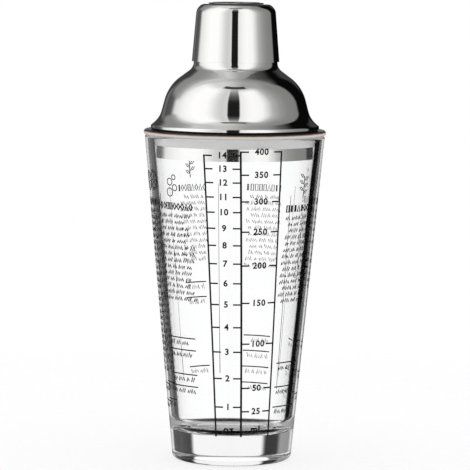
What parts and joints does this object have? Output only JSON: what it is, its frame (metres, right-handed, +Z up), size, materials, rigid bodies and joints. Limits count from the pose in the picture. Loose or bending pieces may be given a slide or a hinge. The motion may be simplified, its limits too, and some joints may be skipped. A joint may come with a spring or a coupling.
{
  "type": "cocktail shaker",
  "caption": "Cocktail shaker: tapered measuring tumbler of clear glass, bell-shaped steel strainer top plugged in through a soft seal, and a push-on steel cap that doubles as a measure.",
  "frame": {"origin": "centre of the tumbler's foot, on the surface it stands on", "axes": "+Z up along the shaker's axis, -Y towards the viewer of the measuring scale"},
  "size_m": [0.0848, 0.0848, 0.2133],
  "materials": {
    "clear_glass": "clear pressed glass, fire-polished",
    "milky_silicone": "soft milky translucent silicone",
    "polished_steel": "mirror-polished stainless steel",
    "print_enamel": "black enamel print fired onto the glass"
  },
  "bodies": {
    "tumbler": {"glass_tumbler": "clear_glass"},
    "seal": {"seal_ring": "milky_silicone"},
    "strainer_top": {"plug_skirt": "polished_steel", "strainer_dome": "polished_steel", "strainer_plate": "polished_steel"},
    "cap": {"pouring_cap": "polished_steel"}
  },
  "joints": [
    {"name": "seal_lift", "type": "slide", "parent": "tumbler", "child": "seal", "axis": [0, 0, 1], "range_m": [0, 0.05]},
    {"name": "strainer_lift", "type": "slide", "parent": "seal", "child": "strainer_top", "axis": [0, 0, 1], "range_m": [0, 0.04]},
    {"name": "cap_lift", "type": "slide", "parent": "strainer_top", "child": "cap", "axis": [0, 0, 1], "range_m": [0, 0.045]}
  ]
}
